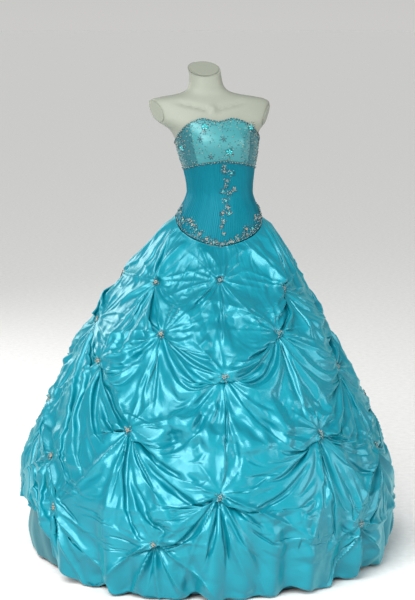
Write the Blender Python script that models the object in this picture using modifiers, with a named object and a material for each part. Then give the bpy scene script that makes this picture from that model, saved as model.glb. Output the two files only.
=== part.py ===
"""A strapless ballroom gown with a pick-up skirt, worn by a limbless dress form on a stand.

The gown's front faces -Y, +Z is up and the stand's base rests on Z = 0. All sizes are in metres.
Places on the gown are given by an angle from the centre front, positive towards +X, and a height.
"""

import math
from collections import namedtuple

import bmesh
import bpy
from mathutils import Matrix, Vector

GOWN = "ballroom_gown"

# Walls and gaps
CLOTH = 0.0015
SATIN = 0.0018
FORM_CLEAR = 0.0032
SEAM_GAP = 0.0004
TACK_GAP = 0.0060
HIP_CLEAR = 0.0110
HIP_EASE = 0.020
TOP_DROP = 0.0015
WAIST_DROP = 0.028
BUST_LIFT = 0.0009

# Stand and form
BASE_RADIUS = 0.165
BASE_HEIGHT = 0.014
BASE_EDGE = 0.004
POLE_RADIUS = 0.0125
POLE_TOP = 0.8645
POLE_GAP = 0.0003
DISC_SIDES = 48
FORM_POWER = 2.15
FORM_AROUND = 54
FORM_STEP = 0.026
FORM_CROWD = 0.22
FORM_TOP = 1.588
FORM_MERGE = 0.0001
NECK_HEIGHT = 1.565
NECK_TILT = math.radians(25)
ARM_CUT = 0.181
ARM_CUT_HEIGHT = 1.427
ARM_CUT_FORWARD = 0.004
ARM_CUT_TURN = math.radians(21)
ARM_CUT_DROP = math.radians(13)
CAP_THICK = 0.0020
CAP_GAP = 0.0004
CAP_EDGE = 0.0006
CAP_SIDES = 32

# Bodice
BUST_OUT = 0.021
BUST_ANGLE = 27.0
BUST_SPREAD = 19.0
BUST_HEIGHT = 1.335
BUST_RISE = 0.048
PRINCESS_SEAM = 48.0
SIDE_SEAM = 93.0
CORD_RADIUS = 0.0014
CORD_GAP = 0.0009
CORD_END = 179.2
CORD_STEPS = 54
NECKLINE_CORD_DROP = 0.0022
EMPIRE_CORD_DROP = 0.0006
BUST_ROWS = 6
MIDRIFF_ROWS = 8

# Skirt
PUFF = 0.040
PUFF_REACH = 0.058
PUFF_TALL = 1.15
PUFF_TOP = 0.09
CREASE = 0.50
CREASE_WIDTH = 0.030
CREASE_RANGE = 0.25
NEIGHBOUR = 0.345
ROW_STEP = 0.06
SKIRT_TURN = -3.0
TURN_TOP = 1.05
TURN_LENGTH = 0.15
FLARE_LENGTH = 0.30
FLUTE = 0.010
FLUTE_TOP = 0.42
HEM_TUCK = 0.020
HEM_TUCK_RISE = 0.035
HEM_TUCK_LEAST = 0.35
HEM_LIFTED = (0.03, 0.18)
SKIRT_ACROSS = 9
SKIRT_ROWS = 22
UNDER_ROWS = 7
UNDER_HEM = 0.010
UNDER_HEM_WAVE = 0.002

Section = namedtuple("Section", "height half_width front back")
FORM_SECTIONS = [
    Section(0.865, 0.150, 0.098, 0.106),
    Section(0.930, 0.160, 0.108, 0.122),
    Section(1.000, 0.156, 0.113, 0.120),
    Section(1.050, 0.148, 0.107, 0.110),
    Section(1.098, 0.134, 0.097, 0.096),
    Section(1.178, 0.102, 0.079, 0.074),
    Section(1.240, 0.110, 0.084, 0.074),
    Section(1.300, 0.124, 0.092, 0.080),
    Section(1.345, 0.133, 0.097, 0.086),
    Section(1.372, 0.145, 0.096, 0.088),
    Section(1.392, 0.170, 0.093, 0.089),
    Section(1.412, 0.192, 0.088, 0.088),
    Section(1.440, 0.200, 0.079, 0.083),
    Section(1.460, 0.196, 0.069, 0.076),
    Section(1.471, 0.178, 0.061, 0.070),
    Section(1.478, 0.142, 0.055, 0.065),
    Section(1.484, 0.104, 0.051, 0.061),
    Section(1.492, 0.075, 0.048, 0.057),
    Section(1.504, 0.060, 0.047, 0.054),
    Section(1.525, 0.053, 0.047, 0.051),
    Section(1.555, 0.051, 0.048, 0.050),
    Section(1.595, 0.051, 0.048, 0.049),
]

Place = namedtuple("Place", "height across")
CENTRE_LINE = [
    Place(0.00, -0.034),
    Place(0.70, -0.033),
    Place(0.92, -0.018),
    Place(1.05, 0.000),
    Place(1.178, 0.010),
    Place(1.30, 0.003),
    Place(1.41, -0.012),
    Place(1.48, -0.028),
    Place(1.60, -0.042),
]
NECK_LINE_Y = [
    Place(0.00, 0.000),
    Place(1.35, 0.000),
    Place(1.48, 0.014),
    Place(1.53, 0.012),
    Place(1.60, 0.009),
]

Cap = namedtuple("Cap", "across up half_wide half_tall slant")
NECK_CAP = Cap(0, 0, 0.0455, 0.0490, 0)
LEFT_ARM_CAP = Cap(-0.0161, -0.0081, 0.0430, 0.0285, 30)
RIGHT_ARM_CAP = Cap(0.0099, 0.0053, 0.0425, 0.0300, -30)

Edge = namedtuple("Edge", "angle height")
NECKLINE = [
    Edge(0, 1.404),
    Edge(12, 1.408),
    Edge(28, 1.414),
    Edge(44, 1.403),
    Edge(62, 1.374),
    Edge(90, 1.336),
    Edge(130, 1.318),
    Edge(180, 1.312),
]
EMPIRE_SEAM = [
    Edge(0, 1.279),
    Edge(35, 1.271),
    Edge(90, 1.252),
    Edge(180, 1.250),
]
BASQUE = [
    Edge(0, 1.010),
    Edge(20, 1.018),
    Edge(45, 1.036),
    Edge(62, 1.057),
    Edge(90, 1.098),
    Edge(120, 1.100),
    Edge(150, 1.084),
    Edge(180, 1.066),
]
SKIRT_HEM = [
    Edge(-180, 0.030),
    Edge(-134, 0.034),
    Edge(-118, 0.110),
    Edge(-102, 0.235),
    Edge(-74, 0.232),
    Edge(-65, 0.150),
    Edge(-58, 0.086),
    Edge(-44, 0.058),
    Edge(-30, 0.026),
    Edge(-12, 0.014),
    Edge(4, 0.022),
    Edge(30, 0.014),
    Edge(75, 0.016),
    Edge(120, 0.022),
    Edge(180, 0.030),
]

UNDER_SHOWS = Edge(-91, 0.20)
UNDER_SHOWS_SPREAD = 15.0
UNDER_SHOWS_RISE = 0.15
UNDER_FULL = 0.032

Radius = namedtuple("Radius", "height radius")
SKIRT_SHAPE = [
    Radius(0.000, 0.546),
    Radius(0.100, 0.567),
    Radius(0.200, 0.575),
    Radius(0.262, 0.571),
    Radius(0.364, 0.543),
    Radius(0.488, 0.494),
    Radius(0.602, 0.437),
    Radius(0.678, 0.398),
    Radius(0.778, 0.343),
    Radius(0.850, 0.308),
    Radius(0.920, 0.276),
    Radius(1.000, 0.240),
    Radius(1.100, 0.205),
]

Tack = namedtuple("Tack", "angle height")
TACKS = [
    Tack(0, 0.918),
    Tack(-50, 0.908),
    Tack(50, 0.882),
    Tack(-102, 0.900),
    Tack(102, 0.898),
    Tack(-155, 0.910),
    Tack(155, 0.905),
    Tack(-30, 0.770),
    Tack(30, 0.765),
    Tack(-80, 0.776),
    Tack(80, 0.760),
    Tack(-128, 0.770),
    Tack(128, 0.764),
    Tack(180, 0.776),
    Tack(0, 0.656),
    Tack(-58, 0.674),
    Tack(63, 0.633),
    Tack(-107, 0.645),
    Tack(110, 0.650),
    Tack(-155, 0.655),
    Tack(155, 0.648),
    Tack(-34, 0.500),
    Tack(34, 0.476),
    Tack(-86, 0.512),
    Tack(89, 0.500),
    Tack(-132, 0.498),
    Tack(132, 0.490),
    Tack(180, 0.505),
    Tack(-3, 0.327),
    Tack(-65, 0.380),
    Tack(65, 0.380),
    Tack(-110, 0.356),
    Tack(112, 0.350),
    Tack(-155, 0.340),
    Tack(158, 0.332),
    Tack(-22, 0.180),
    Tack(44, 0.183),
    Tack(-57, 0.238),
    Tack(90, 0.190),
    Tack(-134, 0.185),
    Tack(134, 0.180),
    Tack(180, 0.190),
]

Flute = namedtuple("Flute", "count turn share")
FLUTES = [Flute(7, 10, 0.5), Flute(11, 47, 0.3), Flute(17, 21, 0.2)]

Paint = namedtuple("Paint", "colour metallic roughness")
TAFFETA = Paint((0.020, 0.330, 0.430), 0.0, 0.34)
PLAIN_TAFFETA = Paint((0.012, 0.250, 0.330), 0.0, 0.38)
BUST_SATIN = Paint((0.090, 0.390, 0.430), 0.0, 0.36)
BEADS = Paint((0.030, 0.090, 0.110), 0.4, 0.30)
CREAM = Paint((0.780, 0.760, 0.660), 0.0, 0.55)
STEEL = Paint((0.620, 0.630, 0.640), 1.0, 0.22)


def smooth(x):
    """0 below 0, 1 above 1, and an even curve between."""
    x = min(max(x, 0.0), 1.0)
    return x * x * (3 - 2 * x)


def along(table, at):
    """The second column of a table at a place in its first, on a curve through its rows."""
    rows = [(row[0], row[1]) for row in table]
    if at <= rows[0][0]:
        return rows[0][1]
    if at >= rows[-1][0]:
        return rows[-1][1]
    i = max(k for k in range(len(rows) - 1) if rows[k][0] <= at)
    (x0, y0), (x1, y1) = rows[i], rows[i + 1]
    slope = (y1 - y0) / (x1 - x0)
    before = (y0 - rows[i - 1][1]) / (x0 - rows[i - 1][0]) if i else slope
    after = (rows[i + 2][1] - y1) / (rows[i + 2][0] - x1) if i + 2 < len(rows) else slope
    start = 0.0 if before * slope <= 0 else 2 * before * slope / (before + slope)
    end = 0.0 if after * slope <= 0 else 2 * after * slope / (after + slope)
    t, wide = (at - x0) / (x1 - x0), x1 - x0
    return (
        y0 * (2 * t**3 - 3 * t**2 + 1)
        + start * wide * (t**3 - 2 * t**2 + t)
        + y1 * (3 * t**2 - 2 * t**3)
        + end * wide * (t**3 - t**2)
    )


def turned(angle):
    """An angle brought between -180 and 180."""
    return (angle + 180) % 360 - 180


def centre(height):
    return Vector((along(CENTRE_LINE, height), along(NECK_LINE_Y, height), height))


def place(angle, radius, height):
    a = math.radians(angle)
    return centre(height) + Vector((radius * math.sin(a), -radius * math.cos(a), 0))


def form_radius(angle, height, filled):
    """The dress form's surface. Filled, it spans the hollow between the breasts, as cloth does."""
    column = [[(s.height, s[k]) for s in FORM_SECTIONS] for k in (1, 2, 3)]
    wide, front, back = (along(rows, height) for rows in column)
    a = math.radians(angle)
    deep = front if math.cos(a) > 0 else back
    radius = (
        (abs(math.sin(a)) / wide) ** FORM_POWER + (abs(math.cos(a)) / deep) ** FORM_POWER
    ) ** (-1 / FORM_POWER)
    off = abs(turned(angle)) - BUST_ANGLE
    if filled:
        off = max(off, 0.0)
    rise = (height - BUST_HEIGHT) / BUST_RISE
    return radius + BUST_OUT * math.exp(-((off / BUST_SPREAD) ** 2) - rise * rise)


def bodice_radius(angle, height):
    """The inside of the bodice's cloth."""
    return form_radius(angle, height, True) + FORM_CLEAR


def basque(angle):
    return along(BASQUE, abs(turned(angle)))


def skirt_angle(angle, height):
    """The skirt is turned a little on the form, all of it by mid skirt."""
    return angle + SKIRT_TURN * smooth((TURN_TOP - height) / TURN_LENGTH)


def skirt_base(angle, height):
    """The inside of the skirt where it is tacked down."""
    top = basque(angle)
    drop = min(max(top - height, 0.0) / FLARE_LENGTH, 1.0)
    spread = 1 - (1 - drop) ** 2
    start = bodice_radius(angle, top)
    full = along(SKIRT_SHAPE, height)
    flare = start + (full - start) * spread
    if height > FORM_SECTIONS[0].height:
        over_form = bodice_radius(angle, height) + HIP_CLEAR * smooth((top - height) / HIP_EASE)
        flare = max(flare, over_form)
    return flare


def flute(angle, height):
    """How far the uneven folds that hang to the hem stand out."""
    wave = sum(f.share * math.cos(math.radians(f.count * (angle - f.turn))) for f in FLUTES)
    return FLUTE * smooth((FLUTE_TOP - height) / FLUTE_TOP) * (1 + wave)


def apart(first, second, angle, height, radius):
    """How far a place is from the straight line between two tacks, along the cloth."""
    x0, y0 = radius * math.radians(turned(first.angle - angle)), first.height - height
    x1, y1 = radius * math.radians(turned(second.angle - angle)), second.height - height
    dx, dy = x1 - x0, y1 - y0
    t = -(x0 * dx + y0 * dy) / (dx * dx + dy * dy)
    t = min(max(t, 0.0), 1.0)
    return math.hypot(x0 + t * dx, y0 + t * dy)


def tack_pairs():
    """The neighbouring tacks that a taut crease joins."""
    pairs = []
    for i, a in enumerate(TACKS):
        for b in TACKS[i + 1 :]:
            radius = along(SKIRT_SHAPE, (a.height + b.height) / 2)
            gap = math.hypot(radius * math.radians(turned(a.angle - b.angle)), a.height - b.height)
            if gap < NEIGHBOUR and abs(a.height - b.height) > ROW_STEP:
                pairs.append((a, b))
    return pairs


PAIRS = tack_pairs()


def puff(angle, height):
    """How far the cloth stands out between the tacks."""
    radius = along(SKIRT_SHAPE, height)
    full = 1.0
    for t in TACKS:
        across = radius * math.radians(turned(t.angle - angle))
        gap = math.hypot(across, PUFF_TALL * (t.height - height))
        if gap < 3 * PUFF_REACH:
            full *= 1 - math.exp(-((gap / PUFF_REACH) ** 2))
    crease = 0.0
    for a, b in PAIRS:
        if min(abs(a.height - height), abs(b.height - height)) < CREASE_RANGE:
            off = apart(a, b, angle, height, radius)
            crease = max(crease, math.exp(-((off / CREASE_WIDTH) ** 2)))
    top = smooth((basque(angle) - height) / PUFF_TOP)
    return PUFF * full * (1 - CREASE * crease) * top


def skirt_hem(angle):
    return along(SKIRT_HEM, turned(angle))


def skirt_radius(angle, height):
    """The inside of the overskirt's cloth, with its puffs and its tucked hem."""
    edge = (height - skirt_hem(angle)) / HEM_TUCK_RISE
    low, high = HEM_LIFTED
    lifted = smooth((skirt_hem(angle) - low) / (high - low))
    tuck = HEM_TUCK * (HEM_TUCK_LEAST + (1 - HEM_TUCK_LEAST) * lifted) * math.exp(-edge * edge)
    stand_out = puff(angle, height) - tuck
    return skirt_base(angle, height) + flute(angle, height) + max(stand_out, 0.0)


def underskirt_hem(angle):
    wave = math.cos(math.radians(5 * angle + 30))
    return UNDER_HEM + UNDER_HEM_WAVE * wave


def underskirt_radius(angle, height):
    """The inside of the underskirt's cloth, clear inside the tacks and fuller where it shows."""
    off = (turned(angle) - UNDER_SHOWS.angle) / UNDER_SHOWS_SPREAD
    low = smooth((UNDER_SHOWS.height - height) / UNDER_SHOWS_RISE)
    fuller = UNDER_FULL * math.exp(-off * off) * low
    return skirt_base(angle, height) - TACK_GAP - CLOTH + fuller


gown = bpy.data.collections.new(GOWN)


def cleared():
    for old in list(bpy.data.objects):
        bpy.data.objects.remove(old)
    bpy.context.scene.collection.children.link(gown)


def finish(obj, paint, round_shade=True):
    material = bpy.data.materials.new("mat_" + obj.name)
    material.use_nodes = True
    shader = material.node_tree.nodes["Principled BSDF"]
    shader.inputs["Base Color"].default_value = (*paint.colour, 1)
    shader.inputs["Metallic"].default_value = paint.metallic
    shader.inputs["Roughness"].default_value = paint.roughness
    obj.data.materials.append(material)
    if round_shade and obj.type == "MESH":
        obj.data.shade_smooth()
    return obj


def add(name, mesh):
    obj = bpy.data.objects.new(name, mesh)
    gown.objects.link(obj)
    return obj


def panel(name, across, down, surface, thick, paint):
    """One cut piece: a grid laid on surface(u, v), u from 0 to 1 across it and v from 0 to 1 down it."""
    bm = bmesh.new()
    bmesh.ops.create_grid(bm, x_segments=across, y_segments=down, size=0.5)
    for vert in bm.verts:
        vert.co = surface(vert.co.x + 0.5, 0.5 - vert.co.y)
    bmesh.ops.recalc_face_normals(bm, faces=bm.faces)
    middle = min(bm.faces, key=lambda f: (f.calc_center_median() - surface(0.5, 0.5)).length)
    spot = middle.calc_center_median()
    if middle.normal.dot(spot - centre(spot.z)) < 0:
        bmesh.ops.reverse_faces(bm, faces=bm.faces)
    mesh = bpy.data.meshes.new(name)
    bm.to_mesh(mesh)
    bm.free()
    obj = add(name, mesh)
    wall = obj.modifiers.new("Wall", "SOLIDIFY")
    wall.thickness = thick
    wall.offset = 1
    wall.use_even_offset = False
    return finish(obj, paint)


def sheet(name, across, down, left, right, top, bottom, radius, thick, paint, turn=None):
    """A panel between two angles and two edges, less a seam's gap all round."""

    def surface(u, v):
        angle = left + (right - left) * u
        high, low = top(angle) - SEAM_GAP, bottom(angle) + SEAM_GAP
        height = high + (low - high) * v
        out = radius(angle, height)
        gap = math.degrees(SEAM_GAP / out)
        angle += gap * (1 - 2 * u)
        shown = angle if turn is None else turn(angle, height)
        return place(shown, out, height)

    return panel(name, across, down, surface, thick, paint)


def form_point(angle, height):
    point = place(angle, form_radius(angle, height, False), height)
    point = below_neck_cut(point)
    for side in (-1, 1):
        start, out = arm_cut(side)
        past = (point - start).dot(out)
        if past > 0:
            point -= past * out
    return point


def below_neck_cut(point):
    """The point, lowered onto the neck's sloping top if it is above it."""
    start, up = neck_cut()
    past = (point - start).dot(up)
    if past > 0:
        point.z -= past / up.z
    return point


def neck_cut():
    """A point on the neck's flat top, and the way that the top faces."""
    return centre(NECK_HEIGHT), Vector((0, -math.sin(NECK_TILT), math.cos(NECK_TILT)))


def arm_cut(side):
    """A point on an arm's flat end, and the way that the end faces."""
    middle = centre(ARM_CUT_HEIGHT) + Vector((side * ARM_CUT, -ARM_CUT_FORWARD, 0))
    flat = math.cos(ARM_CUT_DROP)
    out = Vector((
        side * math.cos(ARM_CUT_TURN) * flat,
        -math.sin(ARM_CUT_TURN) * flat,
        -math.sin(ARM_CUT_DROP),
    ))
    return middle, out


def torso():
    """The form, lofted through its sections and closed by a flat bottom and the neck's flat top."""
    heights, rings = [], []
    for low, high in zip(FORM_SECTIONS, FORM_SECTIONS[1:]):
        steps = max(1, round((high.height - low.height) / FORM_STEP))
        heights += [low.height + (high.height - low.height) * k / steps for k in range(steps)]
    heights = [h for h in heights if h < FORM_TOP] + [FORM_TOP]
    bm = bmesh.new()
    for height in heights:
        ring = []
        for k in range(FORM_AROUND):
            t = 2 * math.pi * k / FORM_AROUND
            angle = math.degrees(t + FORM_CROWD * math.sin(2 * t))
            ring.append(bm.verts.new(form_point(turned(angle), height)))
        rings.append(ring)
    for lower, upper in zip(rings, rings[1:]):
        for k in range(FORM_AROUND):
            j = (k + 1) % FORM_AROUND
            bm.faces.new((lower[k], lower[j], upper[j], upper[k]))
    bm.faces.new(rings[0][::-1])
    bm.faces.new(rings[-1])
    bmesh.ops.remove_doubles(bm, verts=bm.verts, dist=FORM_MERGE)
    bmesh.ops.recalc_face_normals(bm, faces=bm.faces)
    mesh = bpy.data.meshes.new("form_torso")
    bm.to_mesh(mesh)
    bm.free()
    finish(add("form_torso", mesh), CREAM)


def cap(name, middle, out, shape):
    """A thin oval plate laid just clear of a flat cut, slanted to lie inside its outline."""
    bm = bmesh.new()
    bmesh.ops.create_cone(
        bm, cap_ends=True, segments=CAP_SIDES, radius1=1, radius2=1, depth=CAP_THICK
    )
    upright = Vector((0, 0, 1)) if abs(out.z) < 0.7 else Vector((0, 1, 0))
    side = upright.cross(out).normalized()
    rise = out.cross(side).normalized()
    facing = Matrix((side, rise, out)).transposed().to_4x4()
    slanted = Matrix.Rotation(math.radians(shape.slant), 4, "Z")
    wide = Matrix.Diagonal((shape.half_wide, shape.half_tall, 1, 1))
    on_cut = middle + side * shape.across + rise * shape.up
    at = Matrix.Translation(on_cut + out * (CAP_THICK / 2 + CAP_GAP))
    bmesh.ops.transform(bm, matrix=at @ facing @ slanted @ wide, verts=bm.verts)
    mesh = bpy.data.meshes.new(name)
    bm.to_mesh(mesh)
    bm.free()
    obj = finish(add(name, mesh), CREAM, round_shade=False)
    edge = obj.modifiers.new("Edge", "BEVEL")
    edge.width = CAP_EDGE
    edge.segments = 1


def disc(name, radius, low, high, edge_width, paint):
    bm = bmesh.new()
    bmesh.ops.create_cone(
        bm, cap_ends=True, segments=DISC_SIDES, radius1=radius, radius2=radius, depth=high - low
    )
    bmesh.ops.translate(bm, vec=(0, 0, (high + low) / 2), verts=bm.verts)
    mesh = bpy.data.meshes.new(name)
    bm.to_mesh(mesh)
    bm.free()
    obj = finish(add(name, mesh), paint, round_shade=False)
    if edge_width:
        edge = obj.modifiers.new("Edge", "BEVEL")
        edge.width = edge_width
        edge.segments = 2
        edge.limit_method = "ANGLE"
    return obj


def cord(name, edge_height, drop):
    """A bead cord that runs round the bodice from one side of the centre back to the other."""
    curve = bpy.data.curves.new(name, "CURVE")
    curve.dimensions = "3D"
    curve.bevel_depth = CORD_RADIUS
    curve.bevel_resolution = 0
    curve.use_fill_caps = True
    spline = curve.splines.new("POLY")
    spline.points.add(CORD_STEPS)
    for k in range(CORD_STEPS + 1):
        angle = CORD_END * (2 * k / CORD_STEPS - 1)
        height = edge_height(angle) - drop
        out = bodice_radius(angle, height) + SATIN + CORD_RADIUS + CORD_GAP
        spline.points[k].co = (*place(angle, out, height), 1)
    obj = add(name, curve)
    finish(obj, BEADS)


def build():
    cleared()
    disc("stand_base", BASE_RADIUS, 0, BASE_HEIGHT, BASE_EDGE, STEEL)
    disc("stand_pole", POLE_RADIUS, BASE_HEIGHT + POLE_GAP, POLE_TOP, 0, STEEL)
    torso()
    cap("form_neck_cap", *neck_cut(), NECK_CAP)
    cap("form_arm_cap_left", *arm_cut(1), LEFT_ARM_CAP)
    cap("form_arm_cap_right", *arm_cut(-1), RIGHT_ARM_CAP)

    def neckline(angle):
        return along(NECKLINE, abs(turned(angle)))

    def empire(angle):
        return along(EMPIRE_SEAM, abs(turned(angle)))

    def bust_bottom(angle):
        return empire(angle) + BUST_LIFT

    bust = [
        ("bust_front", 11, -PRINCESS_SEAM, PRINCESS_SEAM),
        ("bust_side_right", 5, -SIDE_SEAM, -PRINCESS_SEAM),
        ("bust_side_left", 5, PRINCESS_SEAM, SIDE_SEAM),
        ("bust_back_right", 7, -180, -SIDE_SEAM),
        ("bust_back_left", 7, SIDE_SEAM, 180),
    ]
    for name, across, left, right in bust:
        sheet(
            name, across, BUST_ROWS, left, right, neckline, bust_bottom,
            bodice_radius, SATIN, BUST_SATIN,
        )
    midriff = [
        ("midriff_front", 16, -SIDE_SEAM, SIDE_SEAM),
        ("midriff_back_right", 7, -180, -SIDE_SEAM),
        ("midriff_back_left", 7, SIDE_SEAM, 180),
    ]
    for name, across, left, right in midriff:
        sheet(
            name, across, MIDRIFF_ROWS, left, right, empire, basque,
            bodice_radius, CLOTH, TAFFETA,
        )
    cord("neckline_cord", neckline, NECKLINE_CORD_DROP)
    cord("empire_cord", empire, EMPIRE_CORD_DROP)

    def skirt_top(angle):
        return basque(angle) - TOP_DROP

    gores = [
        ("skirt_front", -25, 25),
        ("skirt_side_front_right", -75, -25),
        ("skirt_side_front_left", 25, 75),
        ("skirt_side_right", -125, -75),
        ("skirt_side_left", 75, 125),
        ("skirt_back_right", -180, -125),
        ("skirt_back_left", 125, 180),
    ]
    for name, left, right in gores:
        sheet(
            name, SKIRT_ACROSS, SKIRT_ROWS, left, right, skirt_top, skirt_hem,
            skirt_radius, CLOTH, TAFFETA, skirt_angle,
        )
    under = [
        ("underskirt_front", 9, -48, 48),
        ("underskirt_side_right", 6, -112, -48),
        ("underskirt_side_left", 6, 48, 112),
        ("underskirt_back_right", 6, -180, -112),
        ("underskirt_back_left", 6, 112, 180),
    ]

    def waist(angle):
        return basque(angle) - WAIST_DROP

    for name, across, left, right in under:
        sheet(
            name, across, UNDER_ROWS, left, right, waist, underskirt_hem,
            underskirt_radius, CLOTH, PLAIN_TAFFETA, skirt_angle,
        )


build()
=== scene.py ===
import math

import bmesh
import bpy
import numpy as np
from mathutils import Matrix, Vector


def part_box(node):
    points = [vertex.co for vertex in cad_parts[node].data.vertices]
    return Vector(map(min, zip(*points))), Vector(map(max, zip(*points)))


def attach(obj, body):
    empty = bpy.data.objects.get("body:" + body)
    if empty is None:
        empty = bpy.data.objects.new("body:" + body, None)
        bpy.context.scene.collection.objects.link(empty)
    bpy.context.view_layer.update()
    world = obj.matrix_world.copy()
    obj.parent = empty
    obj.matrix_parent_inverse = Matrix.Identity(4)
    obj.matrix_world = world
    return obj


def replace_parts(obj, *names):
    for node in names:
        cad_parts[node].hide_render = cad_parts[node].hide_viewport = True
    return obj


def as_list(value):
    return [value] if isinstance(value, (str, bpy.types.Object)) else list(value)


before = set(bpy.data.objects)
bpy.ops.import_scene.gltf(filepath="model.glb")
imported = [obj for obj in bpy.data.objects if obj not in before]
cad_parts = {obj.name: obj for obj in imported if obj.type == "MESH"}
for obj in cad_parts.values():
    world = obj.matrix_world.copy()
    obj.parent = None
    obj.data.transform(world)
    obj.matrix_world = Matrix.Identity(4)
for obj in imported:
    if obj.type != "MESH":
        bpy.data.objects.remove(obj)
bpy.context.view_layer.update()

# The gown stands facing -Y. A place on it is an angle from the centre front, in degrees, and a height.
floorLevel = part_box("stand_base")[0][2]
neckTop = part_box("form_torso")[1][2]

# the dress form: height, half width, front depth, back depth
formSections = [
    (0.865, 0.150, 0.098, 0.106), (0.930, 0.160, 0.108, 0.122), (1.000, 0.156, 0.113, 0.120),
    (1.050, 0.148, 0.107, 0.110), (1.098, 0.134, 0.097, 0.096), (1.178, 0.102, 0.079, 0.074),
    (1.240, 0.110, 0.084, 0.074), (1.300, 0.124, 0.092, 0.080), (1.345, 0.133, 0.097, 0.086),
    (1.372, 0.145, 0.096, 0.088), (1.392, 0.170, 0.093, 0.089), (1.412, 0.192, 0.088, 0.088),
    (1.440, 0.200, 0.079, 0.083), (1.460, 0.196, 0.069, 0.076), (1.471, 0.178, 0.061, 0.070),
    (1.478, 0.142, 0.055, 0.065), (1.484, 0.104, 0.051, 0.061), (1.492, 0.075, 0.048, 0.057),
    (1.504, 0.060, 0.047, 0.054), (1.525, 0.053, 0.047, 0.051), (1.555, 0.051, 0.048, 0.050),
    (1.595, 0.051, 0.048, 0.049),
]
# height and how far the middle lies across and back
leanAcross = [
    (0.00, -0.034), (0.70, -0.033), (0.92, -0.018), (1.05, 0.000), (1.178, 0.010),
    (1.30, 0.003), (1.41, -0.012), (1.48, -0.028), (1.60, -0.042),
]
leanBack = [(0.00, 0.000), (1.35, 0.000), (1.48, 0.014), (1.53, 0.012), (1.60, 0.009)]
# angle from the centre front and height, the same on both sides
necklineEdge = [
    (0, 1.404), (12, 1.408), (28, 1.414), (44, 1.403), (62, 1.374), (90, 1.336), (130, 1.318), (180, 1.312),
]
empireEdge = [(0, 1.279), (35, 1.271), (90, 1.252), (180, 1.250)]
basqueEdge = [
    (0, 1.010), (20, 1.018), (45, 1.036), (62, 1.057), (90, 1.098), (120, 1.100), (150, 1.084), (180, 1.066),
]
# angle all the way round and height
hemEdge = [
    (-180, 0.030), (-134, 0.034), (-118, 0.110), (-102, 0.235), (-74, 0.232), (-65, 0.150), (-58, 0.086),
    (-44, 0.058), (-30, 0.026), (-12, 0.014), (4, 0.022), (30, 0.014), (75, 0.016), (120, 0.022),
    (180, 0.030),
]
# height and radius of the skirt under its puffs
skirtShape = [
    (0.000, 0.546), (0.100, 0.567), (0.200, 0.575), (0.262, 0.571), (0.364, 0.543), (0.488, 0.494),
    (0.602, 0.437), (0.678, 0.398), (0.778, 0.343), (0.850, 0.308), (0.920, 0.276), (1.000, 0.240),
    (1.100, 0.205),
]
# where the overskirt is picked up and tacked: angle, height
tacks = [
    (0, 0.918), (-50, 0.908), (50, 0.882), (-102, 0.900), (102, 0.898), (-155, 0.910), (155, 0.905),
    (-30, 0.770), (30, 0.765), (-80, 0.776), (80, 0.760), (-128, 0.770), (128, 0.764), (180, 0.776),
    (0, 0.656), (-58, 0.674), (63, 0.633), (-107, 0.645), (110, 0.650), (-155, 0.655), (155, 0.648),
    (-34, 0.500), (34, 0.476), (-86, 0.512), (89, 0.500), (-132, 0.498), (132, 0.490), (180, 0.505),
    (-3, 0.327), (-65, 0.380), (65, 0.380), (-110, 0.356), (112, 0.350), (-155, 0.340), (158, 0.332),
    (-22, 0.180), (44, 0.183), (-57, 0.238), (90, 0.190), (-134, 0.185), (134, 0.180), (180, 0.190),
]
body = {
    "clear": 0.0032, "square": 2.15, "bustOut": 0.021, "bustAngle": 27.0, "bustSpread": 19.0,
    "bustHeight": 1.335, "bustRise": 0.048,
}
# the shape under the overskirt: how it flares from the basque, clears the form, turns on it and is tacked into
hoop = {
    "flare": 0.30, "overForm": 0.011, "overFormIn": 0.02, "turn": -3.0, "turnBelow": 1.05, "turnIn": 0.15,
    "tackOut": 0.004, "tackTilt": 0.35,
}


def smooth(x):
    x = np.clip(x, 0.0, 1.0)
    return x * x * (3 - 2 * x)


def through(rows, at, column=1):
    # a smooth curve through a table's rows, level where they turn back
    table = np.array(rows, float)
    xs, ys = table[:, 0], table[:, column]
    slopes = np.diff(ys) / np.diff(xs)
    before, after = slopes[:-1], slopes[1:]
    same = before * after > 0
    tangents = np.concatenate([slopes[:1], np.zeros(len(xs) - 2), slopes[-1:]])
    tangents[1:-1][same] = 2 * before[same] * after[same] / (before[same] + after[same])
    at = np.clip(at, xs[0], xs[-1])
    i = np.clip(np.searchsorted(xs, at, side="right") - 1, 0, len(xs) - 2)
    wide = xs[i + 1] - xs[i]
    t = (at - xs[i]) / wide
    rise = 3 * t**2 - 2 * t**3
    return (
        ys[i] * (1 - rise) + ys[i + 1] * rise
        + tangents[i] * wide * (t**3 - 2 * t**2 + t) + tangents[i + 1] * wide * (t**3 - t**2)
    )


def turned(angle):
    return (angle + 180) % 360 - 180


def middleOf(height):
    return through(leanAcross, height), through(leanBack, height)


fineHeights = np.linspace(-0.1, 1.7, 1801)
fineAcross, fineBack = middleOf(fineHeights)


def fromMiddle(x, y, height):
    # how far a place is from the middle: across, back and straight out, read from a fine table to be quick
    x = x - np.interp(height, fineHeights, fineAcross)
    y = y - np.interp(height, fineHeights, fineBack)
    return x, y, np.sqrt(x * x + y * y)


def placeAt(angle, radius, height):
    across, back = middleOf(height)
    a = np.radians(angle)
    return np.stack([across + radius * np.sin(a), back - radius * np.cos(a), height + 0 * a], axis=-1)


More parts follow.
